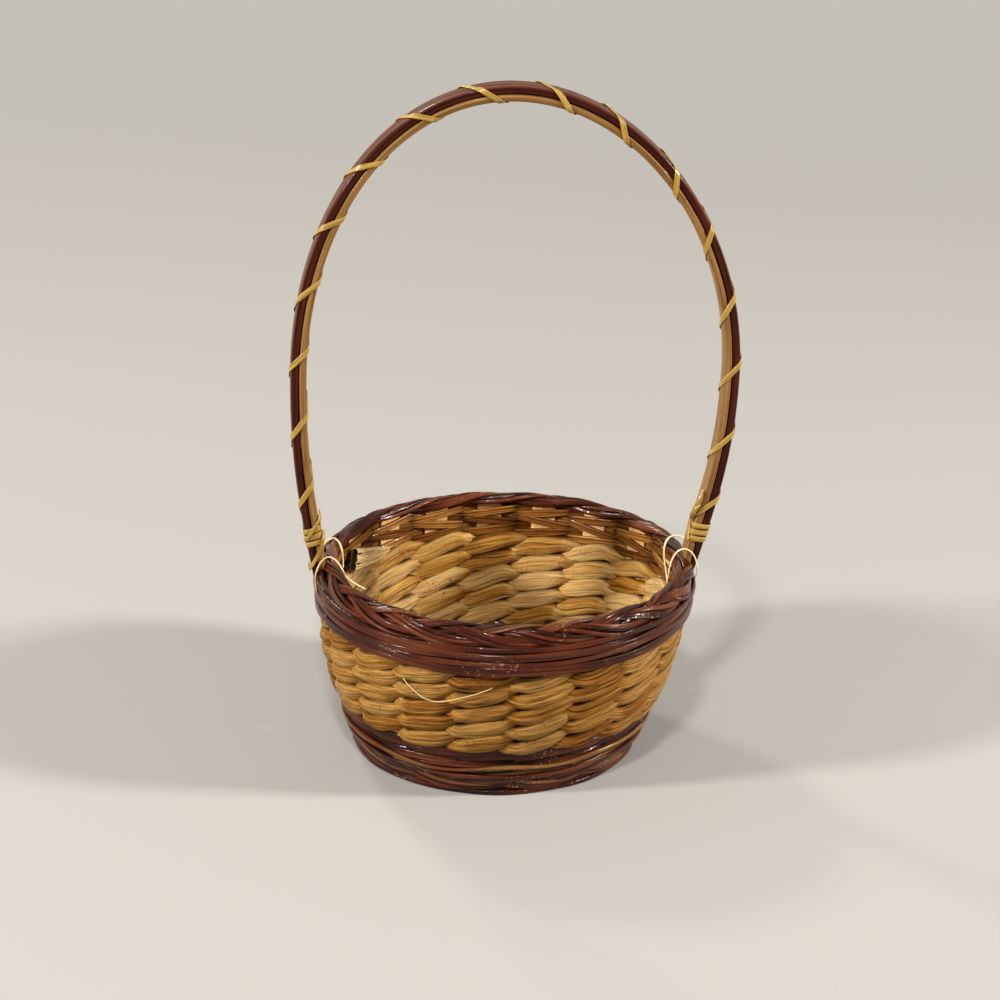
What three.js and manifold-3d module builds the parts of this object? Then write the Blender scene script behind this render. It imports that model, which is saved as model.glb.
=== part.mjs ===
// Round wicker basket with a tall bent handle. Millimetres, +Z up, standing on z = 0.
// The handle lies in the XZ plane; the side seen in the photograph faces -Y.

import * as THREE from 'three'
import { mergeVertices } from 'three/addons/utils/BufferGeometryUtils.js'
import Module from 'manifold-3d'

const wasm = await Module()
wasm.setup()

// Driving dimensions of the bowl

const stakeCount = 19
const stakeWidth = 15
const stakeThickness = 1.3
const stakeTopBelowRim = 8.3
const stakeBottom = 0.4
const firstStakeAngle = THREE.MathUtils.degToRad(90.5)
const wallClearance = 0.35
const rimHeight = 119
const rimLean = 6.3
const rimCentreX = -3.5

// Radius of the stakes' middle surface: at the foot, at the rim, and the share of the flare
// that is reached at a few heights
const footStakeRadius = 81.3
const rimStakeRadius = 105.7
const wallFlare = [
  [0, 0],
  [16, 0.242],
  [32, 0.488],
  [50, 0.734],
  [70, 0.906],
  [90, 0.975],
  [112, 1]
]
const wallProfile = wallFlare.map(([z, share]) => [
  z,
  footStakeRadius + share * (rimStakeRadius - footStakeRadius)
])

// Driving dimensions of the woven bands: rows, height, thickness of the strand beside a stake
// and its swell in the middle of a stitch. Each band stands on the one below.
const footBand = { rows: 4, bottom: 0, height: 35, thickness: 3.7, swell: 0 }
const leafBand = { rows: 5, bottom: footBand.height, height: 53, thickness: 3.4, swell: 2.6 }
const upperBandBelowRim = 9
const upperBandBottom = leafBand.bottom + leafBand.height
const upperBand = {
  rows: 3,
  bottom: upperBandBottom,
  height: rimHeight - upperBandBelowRim - upperBandBottom,
  thickness: 3.4,
  swell: 0
}
const rowClearance = 0.3
const strandBackShare = 0.55

// Driving dimensions of the base mat: the step is how far its rod rises over a spoke
const matClearance = 0.3
const matThickness = 4.6
const matStep = 1.8
const matHubRadius = 9
const matRodPitch = 3.9
const matFlatRounds = 2
const matSidesPerStake = 3

// Driving dimensions of the plaited border, as distance outside the stakes and depth below the
// top, round its hooked section: the skin first, from the inner lip over the top to its lowest point
const borderReach = 8.9
const borderSkin = [
  [-5.3, 5],
  [-2.9, 1.4],
  [1.3, 0],
  [6.1, 2.6],
  [borderReach, 9.4],
  [8.5, 16.4],
  [6.3, 20.3]
].map(fromRim)
const borderUnderside = [
  [5.1, 18],
  [5.1, 8.6],
  [-1.7, 7.2]
].map(fromRim)
const borderStationsPerLobe = 3
const borderLobeDepth = 2.2
const borderLobeSlant = 1.3
const borderLobeMiddle = 3

function fromRim([outside, below]) {
  return [rimStakeRadius + outside, rimHeight - below]
}

// Driving dimensions of the handle, measured to the outer face of its outer bow. Its feet end
// inside the border, a little under its skin.
const handleHalfWidth = 133
const handleWidestHeight = 235
const handleTop = 409.5
const handleFootCover = 1
const handleFootSink = 16
const handleFootHalfWidth = rimStakeRadius + borderReach - handleFootCover
const handleFootHeight = rimHeight - handleFootSink
const handleFootSlope = 0.25
const handleLegFullness = 50
const handleArchShare = 0.645
const handleSway = 5.5
const handleShift = -1.8
const handleSpans = 48

// Driving dimensions of the two bows that are laid one inside the other
const bowWidth = 16
const outerBowThickness = 4.9
const outerBowTipThickness = 2.6
const outerBowCorner = [2.2, 3.4]
const bowTaperLength = 24
const bowClearance = 0.3
const innerBowThickness = 4.6
const innerBowCorner = [2.2, 2.2]
const innerBowSink = 5.4
const pocketClearance = 0.35
const pocketSpans = 3

// Driving dimensions of the cane wound round both bows: a tight collar, an open spiral and
// another tight collar, in one length
const caneWidth = 3
const caneThickness = 0.8
const caneLift = 0.5
const caneCorner = 3
const caneCornerPoints = 4
const collarTurns = 3
const collarPitch = 4.2
const spiralTurns = 15.75
const windingEndRise = 9
const windingPhase = 4

// Driving dimensions of the thin cane hoops that tie the handle's feet to the border
const hoopThickness = 1.2
const hoopWidth = 1.6
const hoopGap = 0.5
const hoopAngles = {
  cane_hoop_left_front: 190,
  cane_hoop_left_back: 172,
  cane_hoop_right_front: -10,
  cane_hoop_right_back: 8
}

// Materials

function wicker(color, roughness) {
  return () => new THREE.MeshStandardMaterial({ color, roughness, metalness: 0 })
}

const darkRod = wicker(0x4a1f16, 0.35)
const leafStrand = wicker(0xb98a45, 0.75)
const paleSplint = wicker(0xc9a878, 0.7)
const baseWeave = wicker(0x7a4a2a, 0.7)
const maroonBow = wicker(0x3c1410, 0.3)
const tanBow = wicker(0xa9712f, 0.6)
const yellowCane = wicker(0xd0aa4c, 0.5)

// Wall helpers

const stakePitch = (2 * Math.PI) / stakeCount

function stakeAngle(index) {
  return firstStakeAngle + index * stakePitch
}

// Radius of the stakes' middle surface, straight between the profile's heights
function wallRadius(z) {
  const last = wallProfile.length - 1
  let k = 0
  while (k < last - 1 && z > wallProfile[k + 1][0]) k += 1
  const [z0, r0] = wallProfile[k]
  const [z1, r1] = wallProfile[k + 1]
  return r0 + ((r1 - r0) * (z - z0)) / (z1 - z0)
}

// The bowl leans: its axis moves towards +X as it rises
function axisX(z) {
  return rimCentreX + rimLean * (z / rimHeight - 1)
}

// A point beside a stake: angle of the stake, distance along its width, outward offset, height
function wallPoint(angle, along, outward, z) {
  const radius = wallRadius(z) + outward
  const x = axisX(z) + radius * Math.cos(angle) - along * Math.sin(angle)
  const y = radius * Math.sin(angle) + along * Math.cos(angle)
  return new THREE.Vector3(x, y, z)
}

function ringPoint(angle, radius, z) {
  return new THREE.Vector3(axisX(z) + radius * Math.cos(angle), radius * Math.sin(angle), z)
}

// Skin over a row of equal sections; a closed row meets itself, an open one gets flat ends
function loft(sections, closed) {
  const sides = sections[0].length
  const positions = sections.flat().flatMap((point) => [point.x, point.y, point.z])
  const indices = []
  const spans = closed ? sections.length : sections.length - 1
  for (let i = 0; i < spans; i += 1) {
    const here = i * sides
    const next = ((i + 1) % sections.length) * sides
    for (let j = 0; j < sides; j += 1) {
      const k = (j + 1) % sides
      indices.push(here + j, here + k, next + k)
      indices.push(here + j, next + k, next + j)
    }
  }
  if (!closed) {
    const end = (sections.length - 1) * sides
    for (let j = 1; j < sides - 1; j += 1) {
      indices.push(0, j + 1, j)
      indices.push(end, end + j, end + j + 1)
    }
  }
  const geometry = new THREE.BufferGeometry()
  geometry.setAttribute('position', new THREE.Float32BufferAttribute(positions, 3))
  geometry.setIndex(indices)
  return facingOut(geometry)
}

function signedVolume(geometry) {
  const position = geometry.getAttribute('position')
  const index = geometry.getIndex()
  const corners = [new THREE.Vector3(), new THREE.Vector3(), new THREE.Vector3()]
  let volume = 0
  for (let i = 0; i < index.count; i += 3) {
    corners.forEach((corner, k) => corner.fromBufferAttribute(position, index.getX(i + k)))
    volume += corners[0].dot(corners[1].clone().cross(corners[2])) / 6
  }
  return volume
}

function facingOut(geometry) {
  if (signedVolume(geometry) < 0) {
    geometry.setIndex(Array.from(geometry.getIndex().array).reverse())
  }
  geometry.computeVertexNormals()
  return geometry
}

function subtract(geometry, cutters) {
  const solid = cutters.reduce((rest, cutter) => rest.subtract(toManifold(cutter)), toManifold(geometry))
  const result = solid.getMesh()
  const cut = new THREE.BufferGeometry()
  cut.setAttribute('position', new THREE.BufferAttribute(result.vertProperties, 3))
  cut.setIndex(new THREE.BufferAttribute(result.triVerts, 1))
  cut.computeVertexNormals()
  return cut
}

function toManifold(geometry) {
  const bare = geometry.clone()
  bare.deleteAttribute('normal')
  bare.deleteAttribute('uv')
  const merged = mergeVertices(bare)
  const vertProperties = new Float32Array(merged.getAttribute('position').array)
  const triVerts = new Uint32Array(merged.getIndex().array)
  return new wasm.Manifold(new wasm.Mesh({ numProp: 3, vertProperties, triVerts }))
}

const basket = new THREE.Group()
basket.name = 'wicker_basket'

function addPiece(name, geometry, material) {
  const mesh = new THREE.Mesh(geometry, material())
  mesh.name = name
  basket.add(mesh)
}

// Stakes: flat splints that follow the wall

function stakeGeometry(angle) {
  const halfWidth = stakeWidth / 2
  const halfThickness = stakeThickness / 2
  const stakeTop = rimHeight - stakeTopBelowRim
  const bends = wallProfile.map(([z]) => z).filter((z) => z > stakeBottom && z < stakeTop)
  const heights = [stakeBottom, ...bends, stakeTop]
  const sections = heights.map((z) => [
    wallPoint(angle, -halfWidth, -halfThickness, z),
    wallPoint(angle, halfWidth, -halfThickness, z),
    wallPoint(angle, halfWidth, halfThickness, z),
    wallPoint(angle, -halfWidth, halfThickness, z)
  ])
  return loft(sections, false)
}

for (let i = 0; i < stakeCount; i += 1) {
  const number = String(i + 1).padStart(2, '0')
  addPiece(`stake_${number}`, stakeGeometry(stakeAngle(i)), paleSplint)
}

// Woven rows: a strand goes round twice, outside one stake and inside the next, and with an
// odd number of stakes its second round fills what its first left, so the pair twines.

function strandSection(angle, along, side, z, halfHeight, thickness) {
  const face = stakeThickness / 2 + wallClearance
  const backHalf = halfHeight * strandBackShare
  const near = { out: side * face, half: halfHeight }
  const far = { out: side * (face + thickness), half: backHalf }
  const [inner, outer] = side > 0 ? [near, far] : [far, near]
  return [
    wallPoint(angle, along, inner.out, z - inner.half),
    wallPoint(angle, along, inner.out, z + inner.half),
    wallPoint(angle, along, outer.out, z + outer.half),
    wallPoint(angle, along, outer.out, z - outer.half)
  ]
}

// Half height of a stitch at its middle and at its ends, and how far its ends rise or fall
function stitchShape(band) {
  const rowHeight = band.height / band.rows
  const reach = (rowHeight - rowClearance) / 2
  const endHalf = (reach - rowClearance / 2) / 2
  return { rowHeight, reach, endHalf, climb: reach - endHalf }
}

function strandGeometry(band, row) {
  const { rowHeight, reach, endHalf, climb } = stitchShape(band)
  const middle = band.bottom + rowHeight * (row + 0.5)
  const edge = stakeWidth / 2 + wallClearance
  const sections = []
  for (let visit = 0; visit < 2 * stakeCount; visit += 1) {
    const side = visit % 2 === 0 ? 1 : -1
    const angle = stakeAngle(visit)
    sections.push(strandSection(angle, -edge, side, middle - side * climb, endHalf, band.thickness))
    if (band.swell > 0) {
      sections.push(strandSection(angle, 0, side, middle, reach, band.thickness + band.swell))
    }
    sections.push(strandSection(angle, edge, side, middle + side * climb, endHalf, band.thickness))
  }
  return loft(sections, true)
}

function addBand(name, band, material) {
  for (let row = 0; row < band.rows; row += 1) {
    addPiece(`${name}_${row + 1}`, strandGeometry(band, row), material)
  }
}

addBand('foot_row', footBand, darkRod)
addBand('leaf_row', leafBand, leafStrand)
addBand('upper_row', upperBand, darkRod)

// Base mat: a sheet woven of one rod that spirals outwards, over one spoke and under the next, with
// a spoke at each stake. It fills the foot's lowest row and stands on its flat middle and low crests.

function footInnerRadius() {
  const { rowHeight, endHalf, climb } = stitchShape(footBand)
  const lowest = rowHeight / 2 - climb - endHalf * strandBackShare
  const face = wallRadius(lowest) - stakeThickness / 2 - wallClearance - footBand.thickness
  return Math.hypot(face, stakeWidth / 2 + wallClearance)
}

// A corner of the sheet, on its upper and on its lower face
function matCorner(radius, angle, top, bottom) {
  const x = axisX(0) + radius * Math.cos(angle)
  const y = radius * Math.sin(angle)
  return { top: [x, y, top], bottom: [x, y, bottom] }
}

function matCorners(matRadius, crestCount) {
  const halfStep = matStep / 2
  const corners = [matCorner(0, 0, matThickness - halfStep, 0)]
  for (let i = 0; i < crestCount; i += 1) {
    const high = i % 2 === 0
    const lifted = high && i >= matFlatRounds * stakeCount
    const radius = matHubRadius + (matRodPitch * i) / stakeCount
    const top = high ? matThickness : matThickness - matStep
    corners.push(matCorner(radius, stakeAngle(i), top, lifted ? matStep : 0))
  }
  for (let k = 0; k < matSidesPerStake * stakeCount; k += 1) {
    const angle = stakeAngle(crestCount - 1 + k / matSidesPerStake)
    corners.push(matCorner(matRadius, angle, matThickness - halfStep, halfStep))
  }
  return corners
}

// Triangles of the upper face, anticlockwise: the hub, the rounds, then the rim from the rod's end
function matTriangles(crestCount, rim) {
  const crest = (i) => 1 + i
  const last = crestCount - 1
  const triangles = []
  for (let i = 0; i < stakeCount - 1; i += 1) triangles.push([0, crest(i), crest(i + 1)])
  triangles.push([0, crest(stakeCount - 1), crest(0)])
  triangles.push([crest(stakeCount - 1), crest(stakeCount), crest(0)])
  for (let i = 0; i + stakeCount < last; i += 1) {
    const out = i + stakeCount
    triangles.push([crest(i), crest(out), crest(out + 1)])
    triangles.push([crest(i), crest(out + 1), crest(i + 1)])
  }
  const start = last - stakeCount
  triangles.push([crest(start), crest(last), crest(start + 1)])
  for (let j = 0; j < stakeCount; j += 1) {
    const here = crest(j === 0 ? last : start + j)
    const next = crest(start + j + 1)
    const end = (j + 1) * matSidesPerStake
    for (let k = end - matSidesPerStake; k < end - 1; k += 1) {
      triangles.push([here, rim(k), rim(k + 1)])
    }
    triangles.push([here, rim(end - 1), next])
    triangles.push([next, rim(end - 1), rim(end)])
  }
  return triangles
}

function matGeometry() {
  const matRadius = footInnerRadius() - matClearance
  const rounds = (matRadius - matHubRadius) / matRodPitch - 0.5
  const crestCount = Math.floor(rounds * stakeCount) + 1
  const rimSides = matSidesPerStake * stakeCount
  const rim = (k) => 1 + crestCount + (k % rimSides)
  const corners = matCorners(matRadius, crestCount)
  const below = (corner) => corner + corners.length
  const positions = [...corners.map(({ top }) => top), ...corners.map(({ bottom }) => bottom)]
  const indices = []
  for (const [a, b, c] of matTriangles(crestCount, rim)) {
    indices.push(a, b, c)
    indices.push(below(c), below(b), below(a))
  }
  for (let k = 0; k < rimSides; k += 1) {
    indices.push(rim(k + 1), rim(k), below(rim(k)))
    indices.push(rim(k + 1), below(rim(k)), below(rim(k + 1)))
  }
  const mat = new THREE.BufferGeometry()
  mat.setAttribute('position', new THREE.Float32BufferAttribute(positions.flat(), 3))
  mat.setIndex(indices)
  return facingOut(mat)
}

addPiece('base_mat', matGeometry(), baseWeave)

// Handle arch: half an ellipse on two legs that draw in towards the rim

class HandleArch extends THREE.Curve {
  getPoint(t, target = new THREE.Vector3()) {
    const side = Math.sign(t - 0.5)
    const down = Math.abs(2 * t - 1)
    const [half, z] = down < handleArchShare ? this.crown(down) : this.leg(down)
    const rise = (z - handleFootHeight) / (handleTop - handleFootHeight)
    const sway = handleShift + handleSway * Math.sin(Math.PI * rise)
    return target.set(rimCentreX + sway + side * half, 0, z)
  }

  crown(down) {
    const turn = ((down / handleArchShare) * Math.PI) / 2
    const rise = handleTop - handleWidestHeight
    return [handleHalfWidth * Math.sin(turn), handleWidestHeight + rise * Math.cos(turn)]
  }

  leg(down) {
    const leg = new THREE.CubicBezierCurve(
      new THREE.Vector2(handleHalfWidth, handleWidestHeight),
      new THREE.Vector2(handleHalfWidth, handleWidestHeight - handleLegFullness),
      new THREE.Vector2(
        handleFootHalfWidth + handleFootSlope * handleLegFullness,
        handleFootHeight + handleLegFullness
      ),
      new THREE.Vector2(handleFootHalfWidth, handleFootHeight)
    )
    return leg.getPoint((down - handleArchShare) / (1 - handleArchShare)).toArray()
  }
}

const handleArch = new HandleArch()
handleArch.arcLengthDivisions = 800
const handleLength = handleArch.getLength()
const spanLength = handleLength / handleSpans

// Outer face of the handle at each station, with the direction towards the inside of the arch
const archStations = Array.from({ length: handleSpans + 1 }, (_, i) => {
  const share = i / handleSpans
  const tangent = handleArch.getTangentAt(share)
  return {
    point: handleArch.getPointAt(share),
    inward: new THREE.Vector3(tangent.z, 0, -tangent.x)
  }
})

// A point of the handle: station, depth below the outer face, place across the bows' width
function archPoint(station, depth, across) {
  const first = THREE.MathUtils.clamp(Math.floor(station), 0, handleSpans - 1)
  const [here, next] = [first, first + 1].map((i) =>
    archStations[i].point.clone().addScaledVector(archStations[i].inward, depth)
  )
  const point = here.lerp(next, station - first)
  point.y = across
  return point
}

function outerBowDepth(station) {
  const fromTip = Math.min(station, handleSpans - station) * spanLength
  const share = THREE.MathUtils.clamp(fromTip / bowTaperLength, 0, 1)
  return THREE.MathUtils.lerp(outerBowTipThickness, outerBowThickness, share)
}

// Six corners of a bow: square on its flat side, rounded off on its outward side
function bowSection(station, square, round, corner, grow) {
  const outward = Math.sign(round - square)
  const half = bowWidth / 2 + grow
  const flat = square - outward * grow
  const crest = round + outward * grow
  const shoulder = crest - outward * corner[0]
  return [
    [flat, -half],
    [shoulder, -half],
    [crest, corner[1] - half],
    [crest, half - corner[1]],
    [shoulder, half],
    [flat, half]
  ].map(([depth, across]) => archPoint(station, depth, across))
}

function outerBowSection(station, grow = 0) {
  return bowSection(station, outerBowDepth(station), 0, outerBowCorner, grow)
}

function innerBowSection(station, grow = 0) {
  const seat = outerBowDepth(station) + bowClearance
  return bowSection(station, seat, seat + innerBowThickness, innerBowCorner, grow)
}

function bowStations(first, last) {
  const between = Array.from({ length: handleSpans + 1 }, (_, i) => i).filter((i) => i > first && i < last)
  return [first, ...between, last]
}

// Station where the inner bow ends, which is higher than the outer bow's tip
const innerBowEnd = (handleFootSink - innerBowSink) / spanLength

function outerBowGeometry() {
  return loft(bowStations(0, handleSpans).map((station) => outerBowSection(station)), false)
}

function innerBowGeometry() {
  const stations = bowStations(innerBowEnd, handleSpans - innerBowEnd)
  return loft(stations.map((station) => innerBowSection(station)), false)
}

addPiece('handle_outer_bow', outerBowGeometry(), maroonBow)
addPiece('handle_inner_bow', innerBowGeometry(), tanBow)

// Border: a hooked ring over the stakes' tips, with pockets for the handle's feet

function outwardNormals(outline) {
  return outline.map((here, i) => {
    const before = outline[Math.max(i - 1, 0)]
    const after = outline[Math.min(i + 1, outline.length - 1)]
    return new THREE.Vector2(before[1] - after[1], after[0] - before[0]).normalize()
  })
}

const borderNormals = outwardNormals(borderSkin)

// Skin of the border at an angle, as radius and height, raised by its plait and by a lift
function borderSkinAt(angle, lift) {
  return borderSkin.map(([radius, z], i) => {
    const phase = stakeCount * (angle - firstStakeAngle) - borderLobeSlant * Math.abs(i - borderLobeMiddle)
    const depth = borderLobeDepth * Math.sin((Math.PI * (i + 1)) / (borderSkin.length + 1))
    const inset = 0.5 * depth * (Math.cos(phase) - 1)
    return [radius + borderNormals[i].x * (inset + lift), z + borderNormals[i].y * (inset + lift)]
  })
}

function pocketCutter(section, tip) {
  const below = tip - pocketClearance / spanLength
  const stations = [below, ...bowStations(tip, pocketSpans).slice(1)]
  return loft(stations.map((station) => section(station, pocketClearance)), false)
}

function mirrored(section) {
  return (station, grow) => section(handleSpans - station, grow)
}

function borderGeometry() {
  const stationCount = stakeCount * borderStationsPerLobe
  const sections = Array.from({ length: stationCount }, (_, i) => {
    const angle = firstStakeAngle + (i / stationCount) * 2 * Math.PI
    const outline = [...borderSkinAt(angle, 0), ...borderUnderside]
    return outline.map(([radius, z]) => ringPoint(angle, radius, z))
  })
  const cutters = [
    pocketCutter(outerBowSection, 0),
    pocketCutter(innerBowSection, innerBowEnd),
    pocketCutter(mirrored(outerBowSection), 0),
    pocketCutter(mirrored(innerBowSection), innerBowEnd)
  ]
  return subtract(loft(sections, true), cutters)
}

addPiece('border_braid', borderGeometry(), darkRod)

// Flat cane: a strip along a path whose points carry the direction that faces away from the core

function stripGeometry(path, width, thickness) {
  const sections = path.map(({ point, away }, i) => {
    const before = path[Math.max(i - 1, 0)].point
    const after = path[Math.min(i + 1, path.length - 1)].point
    const tangent = after.clone().sub(before).normalize()
    const side = new THREE.Vector3().crossVectors(tangent, away).normalize().multiplyScalar(width / 2)
    const lift = new THREE.Vector3().crossVectors(side, tangent).normalize().multiplyScalar(thickness / 2)
    return [
      point.clone().add(side).add(lift),
      point.clone().sub(side).add(lift),
      point.clone().sub(side).sub(lift),
      point.clone().add(side).sub(lift)
    ]
  })
  return loft(sections, false)
}

// Handle winding: one cane round both bows

function windingLoop() {
  const lift = caneLift + caneThickness / 2
  const halfDepth = (outerBowThickness + bowClearance + innerBowThickness) / 2
  const points = []
  const corners = [[1, 1], [-1, 1], [-1, -1], [1, -1]]
  corners.forEach(([depthSide, acrossSide], quarter) => {
    for (let k = 0; k < caneCornerPoints; k += 1) {
      const turn = (quarter + k / (caneCornerPoints - 1)) * (Math.PI / 2)
      const reach = caneCorner + lift
      points.push({
        depth: halfDepth + depthSide * (halfDepth - caneCorner) + reach * Math.cos(turn),
        across: acrossSide * (bowWidth / 2 - caneCorner) + reach * Math.sin(turn),
        turn
      })
    }
  })
  return points
}

const windingTurns = collarTurns * 2 + spiralTurns

// Distance along the arch after a number of turns: tight, open, tight
function windingDistance(turns, start, spiralPitch) {
  const collar = Math.min(turns, collarTurns) + Math.max(turns - collarTurns - spiralTurns, 0)
  const open = THREE.MathUtils.clamp(turns - collarTurns, 0, spiralTurns)
  return start + collar * collarPitch + open * spiralPitch
}

function windingPath() {
  const loop = windingLoop()
  const start = (handleFootSink + windingEndRise) * Math.hypot(1, handleFootSlope)
  const spiralLength = handleLength - 2 * (start + collarTurns * collarPitch)
  const spiralPitch = spiralLength / spiralTurns
  const path = []
  for (let i = 0; i <= windingTurns * loop.length; i += 1) {
    const { depth, across, turn } = loop[(i + windingPhase) % loop.length]
    const station = windingDistance(i / loop.length, start, spiralPitch) / spanLength
    const point = archPoint(station, depth, across)
    const inward = archPoint(station, 1, 0).sub(archPoint(station, 0, 0)).normalize()
    const away = inward.multiplyScalar(Math.cos(turn))
    away.y = Math.sin(turn)
    path.push({ point, away })
  }
  return path
}

// Least distance from one turn of the cane to another, edge to edge
function windingGap(path) {
  const stepsPerTurn = (path.length - 1) / windingTurns
  const skipped = Math.ceil(stepsPerTurn / 2)
  let least = Infinity
  for (let i = 0; i < path.length; i += 1) {
    for (let j = i + skipped; j < Math.min(i + 2 * stepsPerTurn, path.length); j += 1) {
      least = Math.min(least, path[i].point.distanceTo(path[j].point))
    }
  }
  return least - caneWidth
}

const caneWinding = windingPath()
console.log(`least gap of the handle's cane to itself: ${windingGap(caneWinding).toFixed(2)} mm`)
addPiece('handle_cane_winding', stripGeometry(caneWinding, caneWidth, caneThickness), yellowCane)

// Thin cane hoops over the border, beside the handle's feet

function hoopGeometry(degrees) {
  const angle = THREE.MathUtils.degToRad(degrees)
  const outline = borderSkinAt(angle, hoopGap + hoopThickness / 2)
  const path = outline.map(([radius, z], i) => {
    const point = ringPoint(angle, radius, z)
    const away = ringPoint(angle, borderNormals[i].x, 0).sub(ringPoint(angle, 0, 0))
    away.z = borderNormals[i].y
    return { point, away }
  })
  return stripGeometry(path, hoopWidth, hoopThickness)
}

Object.entries(hoopAngles).forEach(([name, degrees]) => addPiece(name, hoopGeometry(degrees), yellowCane))

export default basket
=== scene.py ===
import math

import bpy
import numpy as np
from mathutils import Matrix, Vector


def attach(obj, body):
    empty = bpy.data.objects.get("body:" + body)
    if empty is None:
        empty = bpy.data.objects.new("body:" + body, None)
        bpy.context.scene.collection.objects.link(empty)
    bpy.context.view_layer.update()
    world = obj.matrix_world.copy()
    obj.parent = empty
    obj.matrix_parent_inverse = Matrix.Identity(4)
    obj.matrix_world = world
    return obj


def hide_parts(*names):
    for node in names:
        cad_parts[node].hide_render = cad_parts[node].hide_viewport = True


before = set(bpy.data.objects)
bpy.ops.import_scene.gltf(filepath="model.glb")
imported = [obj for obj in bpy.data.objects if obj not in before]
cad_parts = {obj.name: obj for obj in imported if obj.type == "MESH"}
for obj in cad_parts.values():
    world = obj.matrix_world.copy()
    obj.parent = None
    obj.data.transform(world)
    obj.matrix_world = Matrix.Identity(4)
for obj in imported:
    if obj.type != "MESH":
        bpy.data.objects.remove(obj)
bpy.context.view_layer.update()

random = np.random.default_rng(53)
mm = 0.001
scene = bpy.context.scene

# Camera and studio

camera = {
    "position": (-0.1672, -1.7818, 0.8468),
    "right": (0.99643, -0.08299, 0.01569),
    "up": (0.01539, 0.36110, 0.93240),
    "back": (-0.08305, -0.92882, 0.36109),
    "lens": 115.2,
}


def makeCamera():
    data = bpy.data.cameras.new("camera")
    data.lens = camera["lens"]
    data.sensor_width = 36
    data.clip_start = 0.05
    data.clip_end = 40
    thing = addObject("camera", data)
    columns = [Vector(camera[name]).normalized() for name in ("right", "up", "back")]
    turn = Matrix(columns).transposed()
    thing.matrix_world = Matrix.Translation(camera["position"]) @ turn.to_4x4()
    scene.camera = thing


studio = {
    "floorColour": (172, 167, 159),
    "floorBounce": (140, 135, 128),
    "backgroundColour": (198, 193, 184),
    "floorFade": (0.7, 1.9),  # from here to there, in metres, the floor passes into the background
    "floorRoughness": 0.85,
    "floorReach": 9,
    "ambient": 0.2,
    "ambientTint": (1, 0.985, 0.96, 1),
    "lampsAim": (0, 0, 0.1),
    "lamps": [
        # name, position, size, watts
        ("topLamp", (-0.48, -2.24, 3.1), 0.3, 63),
        ("leftLamp", (-2.9, -0.96, 1.5), 0.36, 114),
        ("rightLamp", (2.9, -0.8, 1.5), 0.36, 130),
        ("backLamp", (-1.28, 2.4, 2.16), 0.42, 36),
    ],
}


# Scene-linear colour of display values from 0 to 255
def colour(red, green, blue):
    linear = []
    for value in (red, green, blue):
        value /= 255
        linear.append(value / 12.92 if value <= 0.04045 else ((value + 0.055) / 1.055) ** 2.4)
    return (*linear, 1)


# Sockets by name or number, each linked or set to a value
def feed(tree, node, inputs):
    for name, value in inputs.items():
        if isinstance(value, bpy.types.NodeSocket):
            tree.links.new(value, node.inputs[name])
        else:
            node.inputs[name].default_value = value


def addNode(tree, kind, inputs=None, **settings):
    node = tree.nodes.new("ShaderNode" + kind)
    for name, value in settings.items():
        setattr(node, name, value)
    feed(tree, node, inputs or {})
    return node


def calculate(tree, operation, first, second):
    return addNode(tree, "Math", {0: first, 1: second}, operation=operation).outputs[0]


def times(tree, first, second):
    return calculate(tree, "MULTIPLY", first, second)


def blend(tree, share, first, second, mode="MIX"):
    node = addNode(tree, "Mix", data_type="RGBA", blend_type=mode)
    feed(tree, node, {0: share, 6: first, 7: second})
    return node.outputs[2]


# 1 for what the camera sees, straight or by a shiny or clear surface, and 0 for the light on other things
def seenDirectly(tree):
    path = addNode(tree, "LightPath").outputs
    either = calculate(tree, "MAXIMUM", path["Is Camera Ray"], path["Is Glossy Ray"])
    return calculate(tree, "MAXIMUM", either, path["Is Transmission Ray"])


def addObject(name, data):
    thing = bpy.data.objects.new(name, data)
    scene.collection.objects.link(thing)
    return thing


def startMaterial(name):
    material = bpy.data.materials.new(name)
    material.use_nodes = True
    tree = material.node_tree
    return material, tree, tree.nodes["Principled BSDF"]


def makeWorld():
    world = bpy.data.worlds.new("studio")
    scene.world = world
    world.use_nodes = True
    tree = world.node_tree
    tree.nodes.clear()
    ambient = addNode(tree, "Background", {"Color": studio["ambientTint"], "Strength": studio["ambient"]})
    shown = addNode(tree, "Background", {"Color": colour(*studio["backgroundColour"]), "Strength": 1})
    mix = addNode(tree, "MixShader", {0: seenDirectly(tree), 1: ambient.outputs[0], 2: shown.outputs[0]})
    addNode(tree, "OutputWorld", {"Surface": mix.outputs[0]})


def makeLamps():
    for name, position, size, watts in studio["lamps"]:
        lamp = bpy.data.lights.new(name, "AREA")
        lamp.size = size
        lamp.energy = watts
        thing = addObject(name, lamp)
        thing.location = position
        direction = Vector(studio["lampsAim"]) - Vector(position)
        thing.rotation_euler = direction.to_track_quat("-Z", "Y").to_euler()


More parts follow.
